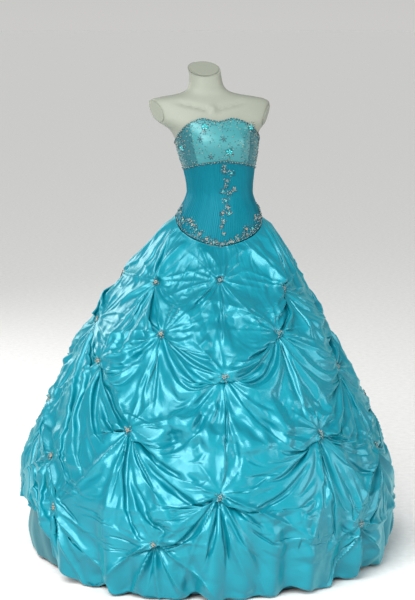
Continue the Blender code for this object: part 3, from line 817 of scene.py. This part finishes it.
print("overskirt")
draped, drapedAngles, tackList, drapedCut = makeOverskirt()
draped = crease(draped, tackList)
drapedFacing = gridNormals(draped, closed=True)
gores = {
    "skirt_back_right": (-180, -125), "skirt_side_right": (-125, -75), "skirt_side_front_right": (-75, -25),
    "skirt_front": (-25, 25), "skirt_side_front_left": (25, 75), "skirt_side_left": (75, 125),
    "skirt_back_left": (125, 180),
}
around = drapedAngles[0]
for node, (left, right) in gores.items():
    first, last = np.searchsorted(around, (left, right))
    columns = np.arange(first, last + 1) % len(around)
    part, partFacing = draped[:, columns], drapedFacing[:, columns]
    hemmed = turnedUnder(part, partFacing, overskirt["turnUnder"], overskirt["thick"])
    hemmed[..., 2] = np.maximum(hemmed[..., 2], floorLevel + 0.003)
    under = np.repeat(-partFacing[-1:], len(hemmed) - len(part), axis=0)
    coarse = 1
    wide = overskirt["threadAcross"] * np.arange(len(columns)) * coarse
    tall = overskirt["threadDown"] * np.arange(len(hemmed)) * coarse
    flat = np.stack(np.broadcast_arrays(wide[None, :] + left * 0.013, -tall[:, None]), axis=-1)
    gore = gridPiece("over" + node, hemmed, flat, np.concatenate([partFacing, under]))
    wear(gore, node, taffeta)
    cut = drapedCut[0][:, columns[:-1]], drapedCut[1][:, columns]
    cutCloth(gore, *cut, "gathered", ["underskirt_front"], overskirt["turnUnder"])


print("underskirt")
underskirt = {
    "columns": 72,
    "rows": 84,
    "flute": 0.0055, "inside": 0.0068, "waistDrop": 0.028, "offFloor": 0.010, "sway": 0.002,
    "fullAngle": -91.0, "full": 0.032, "fullSpread": 15.0, "fullHeight": 0.20,
    "turnUnder": 0.015, "thick": 0.0014,
}


def underskirtHem(angle):
    return floorLevel + underskirt["offFloor"] + underskirt["sway"] * np.cos(np.radians(5 * angle + 30))


def underskirtRadius(angle, height, fluted=True):
    # plain cloth close inside the pick-ups, fuller and softly fluted where it shows
    off = (turned(angle) - underskirt["fullAngle"]) / underskirt["fullSpread"]
    fuller = underskirt["full"] * np.exp(-(off**2)) * smooth((underskirt["fullHeight"] - height) / 0.15)
    wave = np.cos(np.radians(31 * angle) + 9 * height)
    wave = wave + 0.6 * np.cos(np.radians(19 * angle + 40) - 6 * height)
    flutes = underskirt["flute"] * (0.5 * wave - 0.3) * smooth((0.45 - height) / 0.4)
    return skirtBase(angle, height) - underskirt["inside"] + fuller + flutes * fluted


underGores = {
    "underskirt_front": (-48, 48), "underskirt_side_right": (-112, -48), "underskirt_side_left": (48, 112),
    "underskirt_back_right": (-180, -112), "underskirt_back_left": (112, 180),
}
for node, (left, right) in underGores.items():
    angle = np.linspace(left + 0.05, right - 0.05, underskirt["columns"])[None, :]
    share = np.linspace(0, 1, underskirt["rows"])[:, None]
    top = basqueAt(angle) - underskirt["waistDrop"]
    height = top + (underskirtHem(angle) - top) * share
    angle = np.broadcast_to(angle, height.shape)
    cloth = onSkirt(angle, underskirtRadius(angle, height), height)
    hemmed = turnedUnder(cloth, gridNormals(cloth), underskirt["turnUnder"], underskirt["thick"])
    piece = gridPiece(node.replace("under", "plain_under"), hemmed)
    wear(piece, node, plainTaffeta)
    plain = onSkirt(angle, underskirtRadius(angle, height, False), height)
    cutCloth(piece, *threads(plain), "hung", ["form_torso"], underskirt["turnUnder"])


def bodiceCloth(across, top, bottom, rows, lift):
    # a panel of the bodice: a column at each angle across it, rows from its top edge to its bottom edge
    angle = across[None, :]
    share = np.linspace(0, 1, rows)[:, None]
    height = top(angle) + (bottom(angle) - top(angle)) * share
    angle = np.broadcast_to(angle, height.shape)
    return placeAt(angle, bodiceRadius(angle, height) + lift(angle, height), height), angle, height


def bodicePiece(name, node, folded, angle, height, finish, hem):
    # a bodice panel, cut to the plain shape of the form under it
    piece = wear(gridPiece(name, folded), node, finish)
    plain = placeAt(angle, bodiceRadius(angle, height), height)
    cutCloth(piece, *threads(plain), "stretched", ["form_torso"], hem)


def necklineAt(angle):
    return through(necklineEdge, np.abs(turned(angle)))


def empireAt(angle):
    return through(empireEdge, np.abs(turned(angle)))


print("bust band")
bust = {
    "rows": 44, "columns": 60, "thick": 0.0018, "seamDip": 0.0013, "seamWide": 0.0030, "seamGap": 0.18,
    "pull": 0.0011, "pullWide": 0.016, "hollow": 0.0012, "hollowTall": 0.008,
    "turnUnder": 0.006, "foldThick": 0.0012,
}
bustPanels = {
    "bust_front": (-48, 48), "bust_side_right": (-93, -48), "bust_side_left": (48, 93),
    "bust_back_right": (-180, -93), "bust_back_left": (93, 180),
}


def bustLift(left, right):
    # the satin rolls in at its seams, and pulls in slight slanting creases from them
    def lift(angle, height):
        edge = np.minimum(angle - left, right - angle) * np.radians(1) * 0.13
        roll = bust["seamDip"] * np.exp(-((edge / bust["seamWide"]) ** 2))
        fromSeam = np.exp(-((edge / bust["pullWide"]) ** 2))
        strain = np.cos(height * 420 + angle * 0.22) * np.cos(height * 130 + angle * 0.05 + 1)
        hollow = bust["hollow"] * np.exp(-(((height - empireAt(angle)) / bust["hollowTall"]) ** 2))
        return bust["thick"] - roll + bust["pull"] * strain * fromSeam - hollow

    return lift


for node, (left, right) in bustPanels.items():
    across = np.linspace(left + bust["seamGap"], right - bust["seamGap"], bust["columns"])
    cloth, angle, height = bodiceCloth(
        across, lambda a: necklineAt(a) - 0.0003, lambda a: empireAt(a) + 0.0009, bust["rows"],
        bustLift(left, right),
    )
    folded = turnedUnder(cloth[::-1], gridNormals(cloth)[::-1], bust["turnUnder"], bust["foldThick"])[::-1]
    # the front panel wears the lit copy of the satin, the side and back panels the darker copy, painted shade
    finish = satin if node == "bust_front" else sideSatinPaintedShade
    bodicePiece(node + "_satin", node, folded, angle, height, finish, bust["turnUnder"])


print("pleated midriff")
pleats = {
    "rows": 56, "pitch": 3.1, "deep": 0.0013, "vary": (0.65, 1.25),
    "shape": (0.0, 0.14, 0.32, 0.52, 0.70, 0.84, 0.93),
    "under": 0.0004, "soft": 0.0014, "waist": 1.15, "waistTall": 0.06, "sway": 0.0011, "seamGap": 0.18,
    "turnUnder": 0.005, "foldThick": 0.0010,
}
midriffPanels = {"midriff_front": (-93, 93), "midriff_back_right": (-180, -93), "midriff_back_left": (93, 180)}


def pleatRise(share):
    # one knife pleat: a slow rise to its fold, then a sharp step in
    return share**0.75 * (1 - smooth((share - 0.84) / 0.16))


for node, (left, right) in midriffPanels.items():
    count = round((right - left) / pleats["pitch"])
    steps = np.array(pleats["shape"])
    inPleats = np.append((np.arange(count)[:, None] + steps[None, :]).ravel(), count)
    share = np.append(np.tile(steps, count), 0.0)
    across = left + pleats["seamGap"] + (right - left - 2 * pleats["seamGap"]) * inPleats / count
    depths = np.random.default_rng(abs(left) + 3).uniform(*pleats["vary"], count + 1)
    vary = depths[np.floor(inPleats).astype(int)]

    def lift(angle, height, share=share, vary=vary):
        top, bottom = empireAt(angle), basqueAt(angle)
        ends = smooth((top - height) / 0.008) * (0.35 + 0.65 * smooth((height - bottom) / 0.05))
        rise = pleats["deep"] * pleatRise(share)[None, :] * vary[None, :] * ends
        soft = pleats["soft"] * np.cos(height * 96 + angle * 0.11) * np.cos(angle * 0.075 + 1.3 - height * 30)
        waist = np.exp(-(((height - pleats["waist"]) / pleats["waistTall"]) ** 2))
        return pleats["under"] + rise + 0.5 * np.abs(soft) * waist

    cloth, angle, height = bodiceCloth(
        across, lambda a: empireAt(a) - 0.0002, lambda a: basqueAt(a) + 0.0003, pleats["rows"], lift
    )
    sway = pleats["sway"] * np.sin(height * 38 + angle * 0.3)
    sway = sway * (np.abs(np.abs(angle) - 93) > 3) * (np.abs(angle) < 176)  # still at the seams
    a = np.radians(angle)
    cloth = cloth + np.stack([np.cos(a) * sway, np.sin(a) * sway, 0 * sway], axis=-1)
    folded = turnedUnder(cloth, gridNormals(cloth), pleats["turnUnder"], pleats["foldThick"])
    bodicePiece(node + "_pleated", node, folded, angle, height, pleated, pleats["turnUnder"])


print("beads")
beads = {"seed": 0.00155, "cord": 0.0019, "cordPitch": 0.0037, "sides": 6, "bands": 4, "seedNumber": 12}
chance = np.random.default_rng(beads["seedNumber"])
beadFinishes = {"dark": darkBead, "silver": silverBead, "gold": goldBead, "blue": blueStone}
strewn = {colour: [] for colour in beadFinishes}  # (place, frame, sizes) of every bead of each colour


def onBodice(angle, height, proud=0.0018):
    # a place on the bodice's outside, with the ways across it, up it and out of it
    def at(a, h):
        a, h = np.float64(a), np.float64(h)
        return placeAt(a, bodiceRadius(a, h) + proud, h)

    here = at(angle, height)
    across = at(angle + 0.5, height) - at(angle - 0.5, height)
    up = at(angle, height + 0.002) - at(angle, height - 0.002)
    across, up = across / np.linalg.norm(across), up / np.linalg.norm(up)
    out = np.cross(across, up)
    return here, np.stack([across, up, out / np.linalg.norm(out)])


def bead(colour, at, x=0.0, y=0.0, lift=0.5, sizes=(1, 1, 0.85), turn=0.0, size=None):
    # a bead sewn beside a place, x across and y up, its sizes as shares of a seed bead
    here, frame3 = at
    size = beads["seed"] if size is None else size
    across, up, out = frame3
    wide, tall, deep = (size * s for s in sizes)
    along = across * math.cos(turn) + up * math.sin(turn)
    side = np.cross(out, along)
    centre = here + across * x + up * y + out * deep * lift
    strewn[colour].append((centre, np.stack([along, side, out]), (wide, tall, deep)))


def flower(at, size, x=0.0, y=0.0, petals=5, colour="blue", heart="silver", turn=0.0):
    # faceted petals laid round a heart bead, each petal with a seed at its tip
    for k in range(petals):
        way = turn + 2 * math.pi * k / petals
        cx, cy = x + size * 0.60 * math.cos(way), y + size * 0.60 * math.sin(way)
        bead(colour, at, cx, cy, 0.5, (1, 0.68, 0.36), way, size * 0.46)
        tip = way + math.pi / petals
        bead("dark", at, x + size * 1.02 * math.cos(tip), y + size * 1.02 * math.sin(tip), 0.5, (1, 1, 0.8))
    bead(heart, at, x, y, 1.0, (1, 1, 0.8), 0, size * 0.24)


def starBurst(at, long, turn=0.2, colour="dark"):
    # six straight rays of bugle beads round a seed, with a seed at each end
    for k in range(6):
        way = turn + math.pi * k / 3
        for near, share in ((0.36, 0.30), (0.80, 0.22)):
            x, y = long * near * math.cos(way), long * near * math.sin(way)
            bead(colour, at, x, y, 0.8, (share, 0.14, 0.12), way, long)
        bead("dark", at, long * 1.08 * math.cos(way), long * 1.08 * math.sin(way), 0.5, (0.7, 0.7, 0.6))
    bead("silver", at, 0, 0, 0.8)


def spray(at, reach, count, colours=("dark", "silver", "gold", "dark", "blue")):
    # seeds and short bugles strewn close round a place, thinner towards the edge
    for _ in range(count):
        way, far = chance.random() * 2 * math.pi, reach * chance.random() ** 0.7
        colour = colours[chance.integers(len(colours))]
        x, y = far * math.cos(way), far * math.sin(way)
        if chance.random() < 0.28:
            bead("dark", at, x, y, 0.7, (2.2, 0.62, 0.62), chance.random() * 3.14)
        else:
            bead(colour, at, x, y, 0.5, (1, 1, 0.8), 0, beads["seed"] * chance.uniform(0.8, 1.45))


def alongEdge(edgeAt, drop, pitch):
    # even places along an edge of the bodice, all the way round
    angles = np.linspace(-179.4, 179.4, 1400)
    heights = edgeAt(angles) - drop
    places = placeAt(angles, bodiceRadius(angles, heights), heights)
    run = np.concatenate([[0], np.cumsum(np.linalg.norm(np.diff(places, axis=0), axis=-1))])
    for at in np.arange(pitch / 2, run[-1], pitch):
        angle = float(np.interp(at, run, angles))
        yield angle, float(np.interp(angle, angles, heights))


def beadMesh(name, colours):
    # every bead of some colours in one mesh, each a small ball of flat bands
    sides, bands = beads["sides"], beads["bands"]
    tall = np.pi * np.arange(1, bands) / bands
    turn = 2 * np.pi * np.arange(sides) / sides
    ring = np.stack([
        np.sin(tall)[:, None] * np.cos(turn), np.sin(tall)[:, None] * np.sin(turn),
        np.cos(tall)[:, None] + 0 * turn,
    ], axis=-1).reshape(-1, 3)
    ball = np.concatenate([[[0, 0, 1]], ring, [[0, 0, -1]]])
    foot = len(ball) - 1
    faces = []
    for k in range(sides):
        j = (k + 1) % sides
        faces.append((0, 1 + k, 1 + j))
        for band in range(bands - 2):
            a, b = 1 + band * sides, 1 + (band + 1) * sides
            faces += [(a + k, b + k, b + j), (a + k, b + j, a + j)]
        faces.append((foot, foot - sides + j, foot - sides + k))
    made = [m for colour in colours for m in strewn[colour]]
    centres, frames, sizes = (np.array([m[k] for m in made]) for k in range(3))
    points = centres[:, None] + np.einsum("vk,nk,nkc->nvc", ball, sizes, frames)
    index = (np.array(faces)[None] + len(ball) * np.arange(len(made))[:, None, None]).reshape(-1, 3)
    piece = meshPiece(name, points.reshape(-1, 3), index)
    which = np.repeat(np.arange(len(colours)), [len(strewn[colour]) * len(faces) for colour in colours])
    piece.data.polygons.foreach_set("material_index", which.astype(np.int32))
    print(name, len(made), "beads,", len(index), "triangles")
    wear(piece, None, beadFinishes[colours[0]])
    for colour in colours[1:]:
        piece.data.materials.append(beadFinishes[colour])
    return piece


# corded edges: a string of beads with a smaller row under it, on the neckline and the empire seam
cordStrings = {"neckline_cord": (necklineAt, 0.0022), "empire_cord": (empireAt, 0.0006)}
for name, (edgeAt, drop) in cordStrings.items():
    kept, strewn = strewn, {colour: [] for colour in strewn}
    for k, (angle, height) in enumerate(alongEdge(edgeAt, drop, beads["cordPitch"])):
        at = onBodice(angle, height, 0.0020)
        colour = ("dark", "dark", "silver", "dark", "gold")[k % 5]
        bead(colour, at, 0, 0, 0.9, (1, 0.86, 0.86), 0.5 * (-1) ** k, beads["cord"])
    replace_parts(beadMesh(name + "_beads", ["dark", "silver", "gold"]), name)
    strewn = kept
    for k, (angle, height) in enumerate(alongEdge(edgeAt, drop + 0.0042, 0.0066)):
        if abs(angle) < 93:
            bead(("silver", "dark", "dark")[k % 3], onBodice(angle, height), 0, (k % 2) * 0.0014)


# the bust: flowers, star bursts, and seeds strewn thinly in the middle and close at its top edge and sides
bustFlowers = [(-25, 1.387, 0.0100), (9, 1.308, 0.0108), (52, 1.384, 0.0096), (-71, 1.317, 0.0086)]
bustStars = [(-33, 1.349), (1, 1.349), (-22, 1.292)]
for angle, height, size in bustFlowers:
    at = onBodice(angle, height)
    flower(at, size, turn=0.3)
    spray(at, 0.018, 26, ("dark", "silver", "dark", "gold"))
for angle, height in bustStars:
    starBurst(onBodice(angle, height), 0.0098)
spray(onBodice(-29, 1.375), 0.012, 14, ("gold", "silver"))
for _ in range(2600):
    angle, share = chance.uniform(-92, 92), chance.random()
    top, bottom = float(necklineAt(angle)) - 0.006, float(empireAt(angle)) + 0.005
    height = bottom + (top - bottom) * share
    nearTop = math.exp(-(((top - height) / 0.009) ** 2))
    nearSide = 1 - math.exp(-((max(abs(angle + 3) - 38, 0) / 26) ** 2))
    if chance.random() < 0.15 + 0.60 * nearTop + 0.32 * nearSide:
        colour = ("dark", "dark", "silver", "dark", "gold")[chance.integers(5)]
        size = beads["seed"] * chance.uniform(0.75, 1.2)
        bead(colour, onBodice(angle, height), 0, 0, 0.5, (1, 1, 0.8), 0, size)


# the trim that runs down the centre front and along the basque edge: sprays round small flowers
frontTrim = [
    (1, 1.262, 0.010), (1, 1.245, 0.013), (15, 1.240, 0.012), (6, 1.216, 0.013), (2, 1.198, 0.010),
    (-3, 1.181, 0.012), (13, 1.176, 0.012), (22, 1.187, 0.008), (3, 1.152, 0.013), (6, 1.132, 0.009),
    (-3, 1.115, 0.012), (9, 1.112, 0.011), (-1, 1.090, 0.011), (-3, 1.072, 0.009), (1, 1.050, 0.007),
]
basqueTrim = [
    (-84, 1.128, 0.012), (-78, 1.112, 0.015), (-66, 1.090, 0.016), (-56, 1.092, 0.012), (-49, 1.078, 0.015),
    (-42, 1.062, 0.014), (-35, 1.050, 0.014), (-24, 1.034, 0.013), (-13, 1.024, 0.012), (0, 1.018, 0.012),
    (13, 1.024, 0.012), (24, 1.034, 0.013), (34, 1.044, 0.015), (39, 1.062, 0.014), (49, 1.062, 0.016),
    (58, 1.092, 0.015), (68, 1.092, 0.016), (78, 1.112, 0.015), (84, 1.128, 0.012),
]
for k, (angle, height, reach) in enumerate(frontTrim + basqueTrim):
    at = onBodice(angle, height, 0.0022)
    flower(at, 0.0046, petals=6, colour=("silver", "gold", "blue")[k % 3], heart="gold", turn=k * 0.7)
    spray(at, reach, 22, ("dark", "silver", "gold", "dark", "silver"))
for angle, height in alongEdge(basqueAt, -0.0035, 0.0036):
    if abs(angle) < 93:
        at = onBodice(angle, height, 0.0020)
        bead(("dark", "silver")[chance.integers(2)], at, 0, chance.uniform(0, 0.002))
        for _ in range(2):
            rise = chance.random() ** 1.6 * (0.012 + 0.020 * smooth((abs(angle) - 25) / 30))
            colour = ("dark", "gold", "dark", "silver")[chance.integers(4)]
            bead(colour, at, chance.uniform(-0.003, 0.003), rise)


# a cluster on every pick-up of the skirt
clusters = {"reach": 0.016, "count": 26, "flower": 0.0066, "bed": 0.009}
cloud = draped.reshape(-1, 3)
for k, (held, ways) in enumerate(tackFrames(tackList)):
    level = ways[2] * [1, 1, 0] / np.linalg.norm(ways[2][:2])
    apart = cloud - held
    x, y, z = apart @ ways[0], apart[:, 2], apart @ level
    close = (np.hypot(x, y) < clusters["bed"]) & (np.abs(z) < 0.06)
    proud = float(z[close].max()) if close.any() else 0.004
    at = (held + level * (proud + 0.0004), ways)
    flower(at, clusters["flower"], petals=6, colour=("silver", "gold")[k % 2], heart="dark", turn=k * 0.9)
    spray(at, clusters["reach"], clusters["count"], ("dark", "silver", "silver", "gold"))

for colour in beadFinishes:
    beadMesh(colour + "_beads", [colour])


print("dress form")
form = {
    "around": 144, "rise": 0.006, "armCut": 0.181, "armHeight": 1.427, "armTurn": math.radians(21),
    "armDrop": math.radians(13), "neckHeight": 1.565, "neckTilt": math.radians(25), "bone": 0.0070,
}


def collarBones(points):
    # two faint ridges that meet at the notch under the neck
    x, z = points[..., 0] + 0.026, points[..., 2]
    line = 1.432 + 0.030 * (np.abs(x) / 0.11) ** 0.8
    along = smooth((0.135 - np.abs(x)) / 0.05) * smooth((np.abs(x) - 0.004) / 0.02)
    ridge = np.exp(-(((z - line) / 0.0065) ** 2)) * along
    notch = np.exp(-((x / 0.012) ** 2) - ((z - 1.440) / 0.012) ** 2)
    front = points[..., 1] < 0.0
    return form["bone"] * (ridge - 0.9 * notch) * front


def makeForm():
    # the form's skin: rings up its sections, cut flat at the arms and the neck, closed above and below
    heights = np.arange(formSections[0][0], neckTop, form["rise"])
    turn = 2 * np.pi * np.arange(form["around"]) / form["around"]
    angle = np.degrees(turn + 0.22 * np.sin(2 * turn))[None, :]
    height = np.broadcast_to(heights[:, None], (len(heights), form["around"]))
    angle = np.broadcast_to(angle, height.shape)
    points = placeAt(angle, formRadius(angle, height, False), height)
    points = points + gridNormals(points, closed=True) * collarBones(points)[..., None]
    across, back = middleOf(np.float64(form["neckHeight"]))
    up = np.array([0, -math.sin(form["neckTilt"]), math.cos(form["neckTilt"])])
    past = (points - [across, back, form["neckHeight"]]) @ up
    points[..., 2] -= np.maximum(past, 0) / up[2]
    for side in (-1, 1):
        across, back = middleOf(np.float64(form["armHeight"]))
        flat = math.cos(form["armDrop"])
        sideways, forward = side * math.cos(form["armTurn"]) * flat, -math.sin(form["armTurn"]) * flat
        out = np.array([sideways, forward, -math.sin(form["armDrop"])])
        past = (points - [across + side * form["armCut"], back - 0.004, form["armHeight"]]) @ out
        points = points - np.maximum(past, 0)[..., None] * out
    rows, columns = points.shape[:2]
    mesh = bmesh.new()
    rings = [[mesh.verts.new(p) for p in row] for row in points]
    for lower, upper in zip(rings, rings[1:]):
        for k in range(columns):
            j = (k + 1) % columns
            mesh.faces.new((lower[k], lower[j], upper[j], upper[k]))
    mesh.faces.new(rings[0][::-1])
    mesh.faces.new(rings[-1])
    bmesh.ops.remove_doubles(mesh, verts=mesh.verts, dist=0.00005)
    bmesh.ops.dissolve_degenerate(mesh, edges=mesh.edges, dist=0.00005)
    bmesh.ops.recalc_face_normals(mesh, faces=mesh.faces)
    data = bpy.data.meshes.new("form_skin")
    mesh.to_mesh(data)
    mesh.free()
    data.shade_smooth()
    data.set_sharp_from_angle(angle=math.radians(38))
    wear(inScene("form_skin", data), "form_torso", creamForm)


makeForm()
for node, finish in {
    "form_neck_cap": creamForm, "form_arm_cap_left": creamForm, "form_arm_cap_right": creamForm,
    "stand_pole": steel, "stand_base": steel,
}.items():
    for place in bpy.data.objects[node].material_slots:
        place.material = finish


print("floor, lights and camera")
studio = {
    "floor": (0.78, 0.775, 0.76), "floorHalf": 400.0, "key": 250, "fill": 60, "rim": 60,
    "day": 1.3, "dayWide": 35, "dayLean": (24, -20),
    "air": 0.36, "sky": (0.90, 0.91, 0.92), "skyFrom": 0.35, "horizon": 2.13,
}
half = studio["floorHalf"]
corners = [(x, y, floorLevel) for x, y in ((-half, -half), (half, -half), (half, half), (-half, half))]
floorMesh = bpy.data.meshes.new("floor")
floorMesh.from_pydata(corners, [], [(0, 1, 2, 3)])
floorMesh.materials.append(hardFinish("paleFloor", studio["floor"], 0.75, grain=40, bump=0.0002))
floor = inScene("floor", floorMesh)


def softLight(name, place, wide, power, aim=(0, 0, 0.8)):
    light = bpy.data.lights.new(name, "AREA")
    light.size, light.energy = wide, power
    lamp = inScene(name, light)
    lamp.location = place
    lamp.rotation_euler = (Vector(aim) - Vector(place)).to_track_quat("-Z", "Y").to_euler()


softLight("keyLight", (-2.2, -3.6, 3.0), 3.2, studio["key"])
softLight("fillLight", (3.4, -2.2, 1.5), 2.2, studio["fill"])
daylight = bpy.data.lights.new("daylight", "SUN")
daylight.energy, daylight.angle = studio["day"], math.radians(studio["dayWide"])
inScene("daylight", daylight).rotation_euler = (*(math.radians(lean) for lean in studio["dayLean"]), 0)
softLight("rimLight", (-2.4, 3.2, 2.4), 2.0, studio["rim"])
air = bpy.data.worlds.new("air")
air.use_nodes = True
rising = addNode(air.node_tree, "SeparateXYZ", {0: addNode(air.node_tree, "TexCoord").outputs["Generated"]})
horizon = [studio["horizon"] * c for c in studio["floor"]]  # meets the floor at the horizon
sky = addRamp(air.node_tree, rising.outputs["Z"], [(0, horizon), (studio["skyFrom"], studio["sky"])])
setInputs(air.node_tree, air.node_tree.nodes["Background"], {0: sky, 1: studio["air"]})
bpy.context.scene.world = air
bpy.context.scene.view_settings.view_transform = "Standard"

# the camera stands "far" from a point "aside" of the middle, turned round to the side and looking down
view = {
    "aside": -0.03, "side": math.radians(-10), "far": 5.46, "height": 1.706, "down": math.radians(9.21),
    "sensor": 36, "lens": 102.24,
}
lens = bpy.data.cameras.new("camera")
lens.sensor_width, lens.lens = view["sensor"], view["lens"]
camera = inScene("camera", lens)
across, forward = view["far"] * math.sin(view["side"]), view["far"] * math.cos(view["side"])
camera.location = (view["aside"] + across, -forward, view["height"])
camera.rotation_euler = (math.pi / 2 - view["down"], 0, view["side"])
bpy.context.scene.camera = camera
